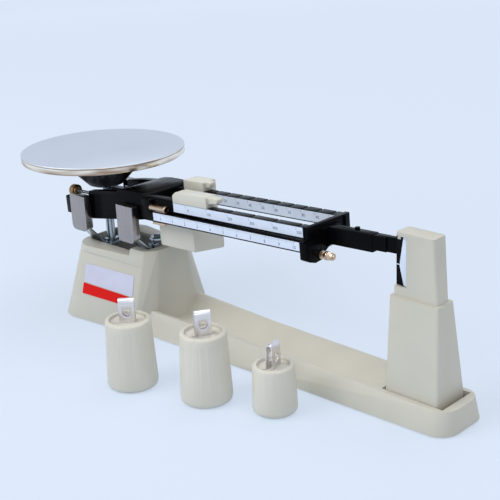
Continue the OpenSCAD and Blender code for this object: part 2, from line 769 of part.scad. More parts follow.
// Rear poise: a saddle over the rear beam with a weight behind and below it
module poise_rear() {
  y0 = rear_rail_front - 0.9;
  y1 = rear_rail_front + rear_rail_depth;
  z0 = rail_top + slide_fit;
  color(cream) on_beam() union() {
    slab_xz(y0, y1 + 4.6, [[rear_poise_x0, z0], [rear_poise_x1, z0],
      [rear_poise_x1, 130.4], [rear_poise_x1 - 0.8, 131.2], [rear_poise_x0 + 0.8, 131.2],
      [rear_poise_x0, 130.4]]);
    box(rear_poise_x0, rear_poise_x1, y1 + slide_fit + 0.4, y1 + 4.6, 103.4, z0 + 1);
    box(rear_poise_x0, rear_poise_x1, rear_rail_front + 0.6, y1 + 4.6, 103.4,
      rail_bottom - 0.7);
    slab_xz(y0 + 3.4, y1 - 1, [[rear_poise_x1 - 1, 125.6], [rear_poise_x1 + 5, 126.4],
      [rear_poise_x1 + 5.8, 127.6], [rear_poise_x1 + 5.8, 130], [rear_poise_x1 + 5, 130.8],
      [rear_poise_x1 - 1, 130.8]]);
  }
}

// Middle poise: saddle on the middle beam, with a web down to its weight
module poise_middle() {
  y0 = mid_rail_front - 0.9;
  z0 = rail_top + slide_fit;
  color(cream) on_beam() union() {
    slab_xz(y0, web_y0 + 3, [[carriage_x0, z0], [carriage_x1, z0],
      [carriage_x1, poise_top - 1], [carriage_x1 - 1, poise_top], [carriage_x0 + 4, poise_top],
      [carriage_x0, poise_top - 3]]);
    box(carriage_x0, web_x1, web_y0, web_y0 + 6, block_top + seat, z0 + 2);
    slab_xz(y0 + 2.4, y0 + 9.6, [[carriage_x1 - 1, 126.6], [carriage_x1 + 9.6, 127.6],
      [carriage_x1 + 11, 129], [carriage_x1 + 11, 131], [carriage_x1 + 9.6, poise_top - 0.6],
      [carriage_x1 - 1, poise_top - 0.6]]);
  }
}

module poise_middle_block() {
  color(cream) on_beam() difference() {
    intersection() {
      slab_yz(block_x0, block_x1, [[block_y0, 79.6], [block_y0 + 0.8, 78.8],
        [block_y1 - 1, 74.4], [block_y1, 75.4], [block_y1, block_top - 1],
        [block_y1 - 1, block_top], [block_y0 + 1, block_top], [block_y0, block_top - 1]]);
      slab_xz(-40, 40, [[block_x0, 78], [block_x0 + 1.5, 60], [block_x1 - 1.5, 60],
        [block_x1, 78], [block_x1, block_top + 1], [block_x0, block_top + 1]]);
    }
    box(block_x0 + 6, block_x1 - 24, block_y0 + 8, block_y1 - 8, block_top - 4,
      block_top + 1);
  }
}

// Front rider: a wire tube on a bent clip that hugs the front beam from behind
module rider_clip() {
  g = slide_fit;
  t = rider_t;
  y1 = front_rail_front + front_rail_depth + g;
  zt = front_rail_top + g;
  zb = front_rail_bottom - g;
  color(brass) on_beam() slab_yz(rider_x0 + 1, rider_x1 - 4, [
    [front_rail_front + 1, zt], [y1, zt], [y1, zb], [front_rail_front - 0.4, zb],
    [front_rail_front - 0.4, zb - 2], [y1 + t, zb - 2], [y1 + t, zt + t],
    [front_rail_front + 1, zt + t]]);
}

module rider_tube() {
  z = front_rail_top + slide_fit + rider_t + seat + 3;
  color(brass) on_beam() difference() {
    union() {
      along_x(front_rail_front + 0.9, z, rider_x0, rider_x1, 5.8);
      along_x(front_rail_front + 0.9, z, rider_x1 - 1.2, rider_x1, 6);
    }
    along_x(front_rail_front + 0.9, z, rider_x0 - 1, rider_x1 + 1, 4.4);
  }
}

// Attachment weight: tapered drum with a raised ring round its sunk top
module weight_body(d0, d1, h) {
  color(cream) difference() {
    rotate_extrude($fn = 120) polygon([[0, 0], [d0 / 2 - 4, 0], [d0 / 2 - 2.2, 0.5],
      [d0 / 2 - 0.8, 1.6], [d0 / 2 - 0.1, 3.4], [d0 / 2, 5], [d1 / 2, h - 2],
      [d1 / 2 - 0.5, h - 0.7], [d1 / 2 - 1.6, h], [d1 / 2 - 3.2, h], [d1 / 2 - 3.8, h - 0.6],
      [d1 / 2 - 3.8, h - 2.4], [0, h - 2.4]]);
    for (s = [-1, 1]) translate([0, s * (loop_d - loop_t) / 2, h - 7])
      cube([loop_w + 2 * seat, loop_t + 2 * seat, 14], center = true);
  }
}

// Hanging loop: a strap folded over a half round, with a hole through both legs
module weight_loop(h) {
  r = loop_d / 2;
  top = h + loop_h - r;
  color(steel) difference() {
    union() {
      box(-loop_w / 2, loop_w / 2, -r, r, h - 13.8, top);
      along_x(0, top, -loop_w / 2, loop_w / 2, loop_d);
    }
    box(-loop_w, loop_w, -r + loop_t, r - loop_t, h - 20, top);
    along_x(0, top, -loop_w, loop_w, loop_d - 2 * loop_t);
    along_y(0, h + loop_hole_z, -10, 10, loop_hole);
  }
}

weight_a_at = [86.8, -107.1, 0];
weight_b_at = [151.6, -86.7, 0];
weight_c_at = [205.1, -66.6, 0];
turn_a = 43;
turn_b = 58;
turn_c = -76;

module weight_a_body() {
  translate(weight_a_at) rotate([0, 0, turn_a])
    weight_body(large_diameter, large_diameter - 4.8, large_height);
}

module weight_a_loop() {
  translate(weight_a_at) rotate([0, 0, turn_a]) weight_loop(large_height);
}

module weight_b_body() {
  translate(weight_b_at) rotate([0, 0, turn_b])
    weight_body(large_diameter, large_diameter - 4.8, large_height);
}

module weight_b_loop() {
  translate(weight_b_at) rotate([0, 0, turn_b]) weight_loop(large_height);
}

module weight_c_body() {
  translate(weight_c_at) rotate([0, 0, turn_c])
    weight_body(small_diameter, small_diameter - 2.6, small_height);
}

module weight_c_loop() {
  translate(weight_c_at) rotate([0, 0, turn_c]) weight_loop(small_height);
}

// From the point below the pivot to the middle of everything, seen from above
origin_x = (base_right + pan_knife_x - pan_diameter / 2) / 2;
origin_y = (pan_diameter / 2 + weight_a_at[1] - large_diameter / 2) / 2;

translate([-origin_x, -origin_y, 0]) {
  base_casting();
  rubber_feet();
  tower_casting();
  tower_screws();
  stop_pads();
  dial_plate();
  dial_back();
  damper_magnets();
  label_plate();
  stand_strap();
  stand_bolt();
  stand_nut();
  link_bracket();
  base_pin();
  main_bearings();
  main_covers();
  beam_casting();
  scale_front();
  scale_middle();
  scale_rear();
  main_knives();
  pan_knives();
  hanger_stud();
  balance_rod();
  arm_pin();
  damping_vane();
  zero_knob();
  pan_stirrup();
  pan_bearings();
  pan_covers();
  pan_stem();
  stem_nut();
  pan_hub();
  stem_pin();
  check_link();
  pan_plate();
  poise_rear();
  poise_middle();
  poise_middle_block();
  rider_clip();
  rider_tube();
  weight_a_body();
  weight_a_loop();
  weight_b_body();
  weight_b_loop();
  weight_c_body();
  weight_c_loop();
}
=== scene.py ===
"""Looks of a three-beam precision balance with a round pan and three attachment weights."""

import logging
import math
from dataclasses import dataclass
from enum import Enum
from typing import Iterable, Sequence

import bpy
from mathutils import Matrix, Vector


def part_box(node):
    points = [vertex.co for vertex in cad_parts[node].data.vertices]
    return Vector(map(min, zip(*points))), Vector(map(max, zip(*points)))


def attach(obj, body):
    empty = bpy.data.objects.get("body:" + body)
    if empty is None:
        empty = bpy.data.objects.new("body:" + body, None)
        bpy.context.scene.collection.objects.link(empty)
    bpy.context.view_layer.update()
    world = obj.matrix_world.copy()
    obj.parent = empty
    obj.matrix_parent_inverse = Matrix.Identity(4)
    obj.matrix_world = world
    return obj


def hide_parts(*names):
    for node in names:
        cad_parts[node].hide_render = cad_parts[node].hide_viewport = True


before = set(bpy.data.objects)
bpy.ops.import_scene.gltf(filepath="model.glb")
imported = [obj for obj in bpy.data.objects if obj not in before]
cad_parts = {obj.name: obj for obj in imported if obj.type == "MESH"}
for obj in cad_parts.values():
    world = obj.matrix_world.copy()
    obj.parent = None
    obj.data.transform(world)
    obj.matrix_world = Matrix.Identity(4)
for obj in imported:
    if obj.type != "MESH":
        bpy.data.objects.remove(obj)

LOG = logging.getLogger("balance")
MM = 0.001
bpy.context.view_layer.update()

# Pieces are drawn in millimetres from the point on the table straight below the main knife
# edge, which stands over the check link's pin. The lever leans about that edge at rest.
PIN_LOW, PIN_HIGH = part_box("base_pin")
FOOT = Vector(((PIN_LOW.x + PIN_HIGH.x) / 2, (PIN_LOW.y + PIN_HIGH.y) / 2, 0.0))
PIVOT_MM = 100.0
REST_TILT_DEG = -2.8
PIVOT = FOOT + Vector((0.0, 0.0, PIVOT_MM)) * MM

Number = float | int
Colour = tuple[float, float, float]


def linear(red: int, green: int, blue: int) -> Colour:
    """Turns display values from 0 to 255 into scene-linear ones.

    Args:
        red: The red value.
        green: The green value.
        blue: The blue value.

    Returns:
        The colour, as a socket takes it.
    """
    def one(value: int) -> float:
        """Turns one value."""
        share = value / 255.0
        return share / 12.92 if share <= 0.04045 else ((share + 0.055) / 1.055) ** 2.4
    return one(red), one(green), one(blue)


# Shader maths


class Wire:
    """A shader socket that sums, products and comparisons can be written with."""

    def __init__(self, bench: "ShaderBench", socket: bpy.types.NodeSocket) -> None:
        """Wraps a socket.

        Args:
            bench: The material's node bench.
            socket: The output that the expression reads.
        """
        self.bench = bench
        self.socket = socket

    def _maths(self, kind: str, *values: "Wire | Number") -> "Wire":
        """Adds a Math node of that kind."""
        return self.bench.node("ShaderNodeMath", {"operation": kind}, dict(enumerate(values)))

    def __add__(self, other: "Wire | Number") -> "Wire":
        """Sum."""
        return self._maths("ADD", self, other)

    def __mul__(self, other: "Wire | Number") -> "Wire":
        """Product."""
        return self._maths("MULTIPLY", self, other)

    __radd__ = __add__
    __rmul__ = __mul__

    def __gt__(self, other: "Wire | Number") -> "Wire":
        """1 where this is greater."""
        return self._maths("GREATER_THAN", self, other)

    def __lt__(self, other: "Wire | Number") -> "Wire":
        """1 where this is less."""
        return self._maths("LESS_THAN", self, other)

    def root(self) -> "Wire":
        """Square root."""
        return self._maths("SQRT", self)

    def wave(self) -> "Wire":
        """Sine."""
        return self._maths("SINE", self)

    def clamp(self) -> "Wire":
        """Held between 0 and 1."""
        return self.bench.node("ShaderNodeClamp", {}, {"Value": self})


class ShaderBench:
    """Builds one material's nodes."""

    def __init__(self, name: str) -> None:
        """Starts a material.

        Args:
            name: The material's name.
        """
        self.material = bpy.data.materials.new(name)
        self.material.use_nodes = True
        self.tree = self.material.node_tree
        self.shader = self.tree.nodes["Principled BSDF"]

    def node(self, kind: str, settings: dict | None = None, values: dict | None = None,
             output: int | str = 0) -> Wire:
        """Adds a node.

        Args:
            kind: The node's type.
            settings: Properties that are set before the sockets.
            values: Values or wires by socket name or number.
            output: The output that the result reads.

        Returns:
            The wire of that output.
        """
        made = self.tree.nodes.new(kind)
        for key, value in (settings or {}).items():
            if key == "stops":
                ramp = made.color_ramp.elements
                while len(ramp) < len(value):
                    ramp.new(0.5)
                for stop, (place, colour) in zip(ramp, value):
                    stop.position = place
                    stop.color = (*colour, 1.0)
            else:
                setattr(made, key, value)
        for key, value in (values or {}).items():
            self.feed(made.inputs[key], value)
        return Wire(self, made.outputs[output])

    def feed(self, socket: bpy.types.NodeSocket, value: object) -> None:
        """Sets a socket to a value or links a wire to it.

        Args:
            socket: The input.
            value: A wire, a colour or another value that the input takes.
        """
        if isinstance(value, Wire):
            self.tree.links.new(value.socket, socket)
        elif isinstance(value, tuple) and len(value) == 3 and socket.type == "RGBA":
            socket.default_value = (*value, 1.0)
        else:
            socket.default_value = value

    def place(self) -> Wire:
        """The point on the object, in metres."""
        return self.node("ShaderNodeTexCoord", {}, {}, "Object")

    def axis(self, name: str) -> Wire:
        """One coordinate of the point on the object."""
        return self.node("ShaderNodeSeparateXYZ", {}, {"Vector": self.place()}, name)

    def stretched(self, scale: Sequence[float]) -> Wire:
        """The point, scaled per axis by a Mapping node."""
        return self.node("ShaderNodeMapping", {"vector_type": "POINT"}, {
            "Vector": self.place(), "Scale": tuple(scale)})

    def noise(self, scale: float, detail: float = 3.0, place: Wire | None = None) -> Wire:
        """Noise of about 1 / scale metres."""
        return self.node("ShaderNodeTexNoise", {}, {
            "Vector": place or self.place(), "Scale": scale, "Detail": detail}, "Fac")

    def ramp(self, value: Wire, low: float, high: float, first: Colour,
             last: Colour) -> Wire:
        """A colour that runs from first to last as value goes from low to high."""
        return self.node("ShaderNodeValToRGB", {"stops": [(low, first), (high, last)]},
                         {"Fac": value}, "Color")

    def span(self, value: Wire, low: float, high: float, first: float = 0.0,
             last: float = 1.0) -> Wire:
        """Maps low..high to first..last, clamped.

        Args:
            value: What is mapped.
            low: Its value that gives first.
            high: Its value that gives last.
            first: The result at low.
            last: The result at high.

        Returns:
            The mapped value.
        """
        return self.node("ShaderNodeMapRange", {"clamp": True}, {
            "Value": value, "From Min": low, "From Max": high, "To Min": first,
            "To Max": last})

    def blend(self, share: Wire | Number, first: Wire | Colour, last: Wire | Colour) -> Wire:
        """Mixes two colours."""
        return self.node("ShaderNodeMix", {"data_type": "RGBA"},
                         {0: share, 6: first, 7: last}, 2)

    def bump(self, height: Wire, depth: float, strength: float = 1.0) -> Wire:
        """A Bump node.

        Args:
            height: The height, from 0 to 1.
            depth: What a height of 1 means, in metres.
            strength: How strongly it shows.

        Returns:
            The normal.
        """
        return self.node("ShaderNodeBump", {}, {
            "Height": height, "Distance": depth, "Strength": strength}, "Normal")

    def set(self, **values: object) -> None:
        """Sets or links the shader's sockets, named with underscores."""
        for key, value in values.items():
            self.feed(self.shader.inputs[key.replace("_", " ")], value)


# Finishes

# Ends of the middle part of a noise, where most of its values lie
NOISE_LOW, NOISE_HIGH = 0.3, 0.7


@dataclass(frozen=True)
class Finish:
    """A surface finish. Subclasses add its nodes."""

    name: str

    def dress(self, bench: ShaderBench) -> None:
        """Adds the finish's nodes."""
        raise NotImplementedError

    def make(self) -> bpy.types.Material:
        """Makes the material, once.

        Returns:
            The material.
        """
        found = bpy.data.materials.get(self.name)
        if found is not None:
            return found
        bench = ShaderBench(self.name)
        self.dress(bench)
        return bench.material


@dataclass(frozen=True)
class Enamel(Finish):
    """Sprayed paint on a casting: slight colour drift, uneven gloss and fine orange peel.

    Attributes:
        colour: The paint's colour.
        gloss: Roughness of the paint.
        peel: Depth of the orange peel, in metres.
        drift: How far the colour wanders.
        shine: Strength of the mirror part of its gloss.
    """

    colour: Colour
    gloss: float = 0.35
    peel: float = 0.00004
    drift: float = 0.04
    shine: float = 0.45

    cloud_scale = 14.0
    gloss_scale = 60.0
    peel_scale = 900.0

    def dress(self, bench: ShaderBench) -> None:
        """Adds drift, uneven gloss and orange peel.

        Args:
            bench: The material's node bench.
        """
        cloud = bench.noise(self.cloud_scale, 2.0)
        grain = bench.noise(self.peel_scale, 2.0)
        dark = tuple(value * (1 - 2 * self.drift) for value in self.colour)
        light = tuple(min(1.0, value * (1 + self.drift)) for value in self.colour)
        bench.set(Base_Color=bench.ramp(cloud, NOISE_LOW, NOISE_HIGH, dark, light),
                  Roughness=bench.span(bench.noise(self.gloss_scale), NOISE_LOW,
                                       NOISE_HIGH, self.gloss - 0.05, self.gloss + 0.07),
                  Specular_IOR_Level=self.shine, Metallic=0.0,
                  Normal=bench.bump(grain, self.peel, 0.5))


@dataclass(frozen=True)
class Metal(Finish):
    """Plated or bare metal with fine brushing.

    Attributes:
        colour: Reflected colour.
        rough: Roughness.
        brushing: Scale of the brush marks per axis; a large number is a fine mark.
        depth: Depth of the marks, in metres.
    """

    colour: Colour
    rough: float = 0.25
    brushing: tuple[float, float, float] = (300.0, 300.0, 300.0)
    depth: float = 0.000004

    smudge_scale = 45.0
    mark_share = 0.86

    def dress(self, bench: ShaderBench) -> None:
        """Adds brush marks and smudges.

        Args:
            bench: The material's node bench.
        """
        marks = bench.noise(1.0, 3.0, bench.stretched(self.brushing))
        smudge = bench.noise(self.smudge_scale)
        dark = tuple(value * self.mark_share for value in self.colour)
        bench.set(Base_Color=bench.ramp(marks, 0.3, 0.75, dark, self.colour), Metallic=1.0,
                  Roughness=bench.span(smudge, NOISE_LOW, NOISE_HIGH, self.rough * 0.8,
                                       self.rough * 1.3),
                  Normal=self.relief(bench, marks))

    def relief(self, bench: ShaderBench, marks: Wire) -> Wire:
        """Returns the normal of the brush marks."""
        return bench.bump(marks, self.depth, 0.6)


@dataclass(frozen=True)
class Threaded(Metal):
    """Plated rod with a thread.

    Attributes:
        axis: The axis that it runs along.
        pitch_mm: Pitch of the thread.
        cut_mm: Depth of the thread.
    """

    axis: str = "Z"
    pitch_mm: float = 0.8
    cut_mm: float = 0.3

    def relief(self, bench: ShaderBench, marks: Wire) -> Wire:
        """Returns the normal of the thread's rings, which take the place of the marks."""
        rings = (bench.axis(self.axis) * (2 * math.pi / (self.pitch_mm * MM))).wave()
        return bench.bump(rings * 0.5 + 0.5, self.cut_mm * MM, 1.0)


@dataclass(frozen=True)
class PanSteel(Finish):
    """Stainless sheet: satin top face, polished rolled rim with painted warm reflection
    streaks and a painted shade line.

    Attributes:
        top_mm: Height above which the flat top face lies.
        seam_mm: Heights between which the rolled edge casts its dark line, painted as shade.
        satin: The top face's colours.
        polish: The rim's dark and bright streaks, painted reflection.
        shadow: Colour of the dark line.
        rough: Roughness of the top face and of the rim.
        streaks: Scale of the rim's streaks per axis.
    """

    top_mm: float = 149.9
    seam_mm: tuple[float, float] = (148.75, 149.3)
    satin: tuple[Colour, Colour] = (linear(204, 207, 212), linear(211, 214, 219))
    polish: tuple[Colour, Colour] = (linear(160, 130, 108), linear(248, 238, 222))
    shadow: Colour = linear(64, 52, 50)
    rough: tuple[float, float] = (0.42, 0.2)
    streaks: tuple[float, float, float] = (26.0, 26.0, 200.0)

    seam_share = 0.8
    satin_scale = 9.0
    grain_scale = 420.0
    grain_m = 0.000004

    def dress(self, bench: ShaderBench) -> None:
        """Splits the top face from the rim by height.

        Args:
            bench: The material's node bench.
        """
        height = bench.axis("Z")
        rim = height < self.top_mm * MM
        low, high = (edge * MM for edge in self.seam_mm)
        satin = bench.ramp(bench.noise(self.satin_scale, 2.0), NOISE_LOW, NOISE_HIGH,
                           *self.satin)
        # Painted reflection: warm dark and bright streaks on the rim's colour.
        streaks = bench.noise(1.0, 1.0, bench.stretched(self.streaks))
        polish = bench.ramp(streaks, 0.34, 0.64, *self.polish)
        # Painted shade: a dark band just under the top edge, where the rolled edge casts its
        # shadow.
        shade_line = (height > low) * (height < high)
        edge = bench.blend(shade_line * self.seam_share, polish, self.shadow)
        bench.set(Base_Color=bench.blend(rim, satin, edge), Metallic=1.0,
                  Roughness=bench.span(rim, 0.0, 1.0, *self.rough),
                  Normal=bench.bump(bench.noise(self.grain_scale), self.grain_m, 0.4))


@dataclass(frozen=True)
class Plain(Finish):
    """Moulded or printed stuff: one colour with a fine grain.

    Attributes:
        colour: The colour.
        rough: Roughness.
        grain: Depth of the grain, in metres.
    """

    colour: Colour
    rough: float = 0.5
    grain: float = 0.00001

    tone_scale = 80.0
    tone_share = 0.93
    rough_scale = 300.0
    grain_scale = 1500.0

    def dress(self, bench: ShaderBench) -> None:
        """Adds a little tone and grain.

        Args:
            bench: The material's node bench.
        """
        tone = bench.noise(self.tone_scale, 2.0)
        dark = tuple(value * self.tone_share for value in self.colour)
        bench.set(Base_Color=bench.ramp(tone, NOISE_LOW, NOISE_HIGH, dark, self.colour),
                  Roughness=bench.span(bench.noise(self.rough_scale, 2.0), NOISE_LOW,
                                       NOISE_HIGH, self.rough - 0.04, self.rough + 0.06),
                  Normal=bench.bump(bench.noise(self.grain_scale, 2.0), self.grain, 0.5),
                  Metallic=0.0)


class Look(Enum):
    """The finishes of this balance."""

    BASE_CREAM = Enamel("base_cream", linear(206, 203, 190), 0.42)
    WEIGHT_CREAM = Enamel("weight_cream", linear(215, 212, 199), 0.38)
    BLACK_GLOSS = Enamel("black_enamel", linear(10, 10, 12), 0.24, 0.00002, 0.1, 0.05)
    HUB_BLACK = Enamel("hub_black", linear(14, 14, 17), 0.32, 0.00003, 0.1, 0.08)
    PAN = PanSteel("pan_sheet")
    ZINC = Metal("zinc_plate", linear(176, 184, 190), 0.22)
    BOLT = Threaded("bolt_thread", linear(176, 184, 190), 0.24)
    ROD = Threaded("rod_thread", linear(170, 176, 180), 0.24, axis="X", pitch_mm=0.5,
                   cut_mm=0.2)
    COVER = Metal("cover_chrome", linear(172, 166, 164), 0.24, (900.0, 900.0, 20.0))
    NICKEL = Metal("warm_nickel", linear(216, 190, 164), 0.22)
    BRASS = Metal("dull_brass", linear(168, 134, 92), 0.3)
    LOOP = Metal("loop_steel", linear(238, 232, 232), 0.34, (60.0, 60.0, 700.0))
    DARK_STEEL = Metal("dark_steel", linear(90, 92, 96), 0.35)
    RUBBER = Plain("black_rubber", linear(28, 28, 28), 0.8, 0.00003)
    AGATE = Plain("agate_stone", linear(46, 42, 40), 0.25)
    SCALE_WHITE = Plain("scale_white", linear(226, 237, 254), 0.35, 0.000004)
    LABEL_WHITE = Plain("label_white", linear(211, 213, 232), 0.4, 0.000004)
    LABEL_RED = Enamel("label_red", linear(226, 20, 14), 0.4, 0.000004, 0.03, 0.15)
    INK = Plain("scale_ink", linear(70, 76, 102), 0.5, 0.000004)
    DIAL_BLACK = Enamel("dial_black", linear(9, 9, 11), 0.45, 0.00001, 0.1, 0.08)
    MAGNET = Metal("magnet_block", linear(70, 70, 74), 0.5)


# Modelling bench


class Bench:
    """Modelling by operators: what every piece starts from and ends with."""

    smooth_deg = 32.0
    corner_steps = 3

    @staticmethod
    def nothing_selected() -> None:
        """Deselects every object."""
        if bpy.context.mode != "OBJECT":
            bpy.ops.object.mode_set(mode="OBJECT")
        bpy.ops.object.select_all(action="DESELECT")

    @staticmethod
    def pick(piece: bpy.types.Object) -> None:
        """Selects one object and makes it active.

        Args:
            piece: The object.
        """
        Bench.nothing_selected()
        piece.select_set(True)
        bpy.context.view_layer.objects.active = piece

    @staticmethod
    def modifier(piece: bpy.types.Object, kind: str, **settings: object) -> None:
        """Adds a modifier and applies it.

        Args:
            piece: The object that gets it.
            kind: The modifier's type.
            settings: Its properties.
        """
        Bench.pick(piece)
        made = piece.modifiers.new(kind.lower(), kind)
        for key, value in settings.items():
            setattr(made, key, value)
        bpy.ops.object.modifier_apply(modifier=made.name)

    @staticmethod
    def settle(piece: bpy.types.Object, look: Look) -> None:
        """Puts the place into the mesh, smooths it and gives it its finish.

        Args:
            piece: The object.
            look: Its finish.
        """
        Bench.pick(piece)
        bpy.ops.object.transform_apply(location=True, rotation=True, scale=True)
        bpy.ops.object.shade_smooth_by_angle(angle=math.radians(Bench.smooth_deg))
        piece.data.materials.clear()
        piece.data.materials.append(look.value.make())

    @staticmethod
    def join(pieces: Sequence[bpy.types.Object], name: str) -> bpy.types.Object:
        """Joins meshes into the first one and names it.

        Args:
            pieces: The meshes.
            name: The name of the result.

        Returns:
            The first one, which now holds them all.
        """
        Bench.nothing_selected()
        for piece in pieces:
            piece.select_set(True)
        bpy.context.view_layer.objects.active = pieces[0]
        if len(pieces) > 1:
            bpy.ops.object.join()
        pieces[0].name = pieces[0].data.name = name
        return pieces[0]

    @staticmethod
    def sheet(corners: Sequence[Sequence[float]], thick: float, round_off: float = 0.0
              ) -> bpy.types.Object:
        """Cuts a thin flat sheet from four corners in its own X and Y, in metres.

        Args:
            corners: Lower left, lower right, upper left and upper right corner.
            thick: How far it stands up along Z.
            round_off: Radius of its corners.

        Returns:
            The sheet, lying on Z = 0 and facing +Z.
        """
        Bench.nothing_selected()
        bpy.ops.mesh.primitive_plane_add(size=1.0)
        piece = bpy.context.active_object
        order = sorted(piece.data.vertices, key=lambda v: (v.co.y > 0, v.co.x > 0))
        for vertex, corner in zip(order, corners):
            vertex.co = (corner[0], corner[1], 0.0)
        bpy.ops.object.mode_set(mode="EDIT")
        bpy.ops.mesh.select_all(action="SELECT")
        if round_off > 0:
            bpy.ops.mesh.bevel(offset=round_off, segments=Bench.corner_steps,
                               affect="VERTICES")
            bpy.ops.mesh.select_all(action="SELECT")
        bpy.ops.mesh.extrude_region_move(TRANSFORM_OT_translate={"value": (0, 0, thick)})
        bpy.ops.mesh.select_all(action="SELECT")
        bpy.ops.mesh.normals_make_consistent(inside=False)
        bpy.ops.object.mode_set(mode="OBJECT")
        return piece

    @staticmethod
    def word(text: str, size: float, thick: float) -> bpy.types.Object:
        """Makes a numeral as a thin mesh, centred on the origin and facing +Z.

        Args:
            text: Its digits.
            size: Height of the type, in metres.
            thick: Thickness, in metres.

        Returns:
            The mesh.
        """
        Bench.nothing_selected()
        bpy.ops.object.text_add()
        piece = bpy.context.active_object
        letters = piece.data
        letters.body, letters.size, letters.extrude = text, size, thick / 2
        letters.align_x, letters.align_y, letters.resolution_u = "CENTER", "CENTER", 2
        bpy.ops.object.convert(target="MESH")
        return bpy.context.active_object

    @staticmethod
    def upright(at: Vector) -> Matrix:
        """Turns a flat piece to face the front, with its own zero point at a place."""
        return Matrix.Translation(at) @ Matrix.Rotation(math.radians(90), 4, "X")

    @staticmethod
    def tilt(piece: bpy.types.Object) -> None:
        """Turns a piece that was made level to the lever's rest tilt."""
        lean = Matrix.Rotation(math.radians(REST_TILT_DEG), 4, "Y")
        piece.data.transform(Matrix.Translation(PIVOT) @ lean @ Matrix.Translation(-PIVOT))

    @staticmethod
    def hand_over(piece: bpy.types.Object, body: str, slot: str,
                  nodes: Iterable[str] = ()) -> None:
        """Rides the piece on its body and hides what it stands for.

        Args:
            piece: The finished piece.
            body: The body that it rides on.
            slot: Not used.
            nodes: The CAD nodes that it stands for.
        """
        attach(piece, body)
        names = tuple(nodes)
        if names:
            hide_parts(*names)
        LOG.info("%s rides on %s", piece.name, body)


@dataclass(frozen=True)
class Part:
    """A piece that is carried over from the CAD model, with its small edges rounded.

    Attributes:
        node: The CAD node.
        slot: The record's material slot.
        look: Its finish.
        edge_mm: Width of the rounded edges; 0 keeps them sharp.
    """

    node: str
    slot: str
    look: Look
    edge_mm: float = 0.0

    edge_steps = 2
    sharp_deg = 40.0
    flat_deg = 0.6
    weld_m = 0.000002

    def build(self, body: str) -> None:
        """Takes a copy, rounds it, finishes it and lets it ride on its body.

        Args:
            body: The body that it rides on.
        """
        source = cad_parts[self.node]
        piece = source.copy()
        piece.data = source.data.copy()
        piece.name = self.node + "_finished"
        for key in [key for key in piece.keys() if key.startswith("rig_")]:
            del piece[key]
        piece.parent = None
        bpy.context.scene.collection.objects.link(piece)
        Bench.pick(piece)
        bpy.ops.object.mode_set(mode="EDIT")
        bpy.ops.mesh.select_all(action="SELECT")
        bpy.ops.mesh.remove_doubles(threshold=self.weld_m)
        bpy.ops.mesh.dissolve_limited(angle_limit=math.radians(self.flat_deg))
        bpy.ops.object.mode_set(mode="OBJECT")
        if self.edge_mm > 0:
            Bench.modifier(piece, "BEVEL", width=self.edge_mm * MM, segments=self.edge_steps,
                           limit_method="ANGLE", angle_limit=math.radians(self.sharp_deg),
                           use_clamp_overlap=True, harden_normals=False)
        Bench.settle(piece, self.look)
        Bench.hand_over(piece, body, self.slot, [self.node])


# Marks and labels


@dataclass(frozen=True)
class Graduation:
    """Numerals and marks along one beam, drawn on the level lever.

    Attributes:
        strip: The CAD node of the white strip.
        face_mm: Y of the strip's face.
        zero_mm: X of the zero mark.
        pitch_mm: Distance between numbered marks.
        numerals: What stands at each of them.
        numeral_mm: Size, height of the middle, and shift along X, of the numerals.
        mark_top_mm: Height of the marks' upper ends.
        parts: Small steps between numbered marks.
    """

    strip: str
    face_mm: float
    zero_mm: float
    pitch_mm: float
    numerals: tuple[str, ...]
    numeral_mm: tuple[float, float, float]
    mark_top_mm: float
    parts: int = 1

    ink_mm = 0.03
    long_mark_mm = (2.3, 0.22)
    half_mark_mm = (1.8, 0.16)
    fine_mark_mm = (1.2, 0.14)

    def _row(self, steps: int, every: float, size_mm: tuple[float, float]
             ) -> bpy.types.Object:
        """Makes one mark and repeats it along the strip.

        Args:
            steps: Number of marks.
            every: Distance between them, in millimetres.
            size_mm: Length and width of a mark.

        Returns:
            The row, in the lever's frame.
        """
        foot, half = -size_mm[0] * MM, size_mm[1] / 2 * MM
        mark = Bench.sheet(((-half, foot), (half, foot), (-half, 0.0), (half, 0.0)),
                           self.ink_mm * MM)
        mark.data.transform(self._on_strip(self.zero_mm, self.mark_top_mm))
        if steps > 1:
            Bench.modifier(mark, "ARRAY", count=steps, use_relative_offset=False,
                           use_constant_offset=True,
                           constant_offset_displace=(every * MM, 0.0, 0.0))
        return mark

    def _on_strip(self, x_mm: float, z_mm: float) -> Matrix:
        """Stands a flat piece on the strip's face."""
        return Bench.upright(FOOT + Vector((x_mm, self.face_mm, z_mm)) * MM)

    def build(self) -> None:
        """Makes the marks and numerals of one beam as one piece."""
        count = len(self.numerals)
        size, middle, shift = self.numeral_mm
        pieces = [self._row(count, self.pitch_mm, self.long_mark_mm)]
        if self.parts > 1:
            fine = self.pitch_mm / self.parts
            pieces.append(self._row((count - 1) * self.parts + 1, fine, self.fine_mark_mm))
            pieces.append(self._row((count - 1) * 2 + 1, self.pitch_mm / 2,
                                    self.half_mark_mm))
        for step, numeral in enumerate(self.numerals):
            piece = Bench.word(numeral, size * MM, self.ink_mm * MM)
            at = self.zero_mm + shift + step * self.pitch_mm
            piece.data.transform(self._on_strip(at, middle))
            pieces.append(piece)
        marks = Bench.join(pieces, self.strip + "_marks")
        Bench.tilt(marks)
        Bench.settle(marks, Look.INK)
        Bench.hand_over(marks, "beam", "black_trim")


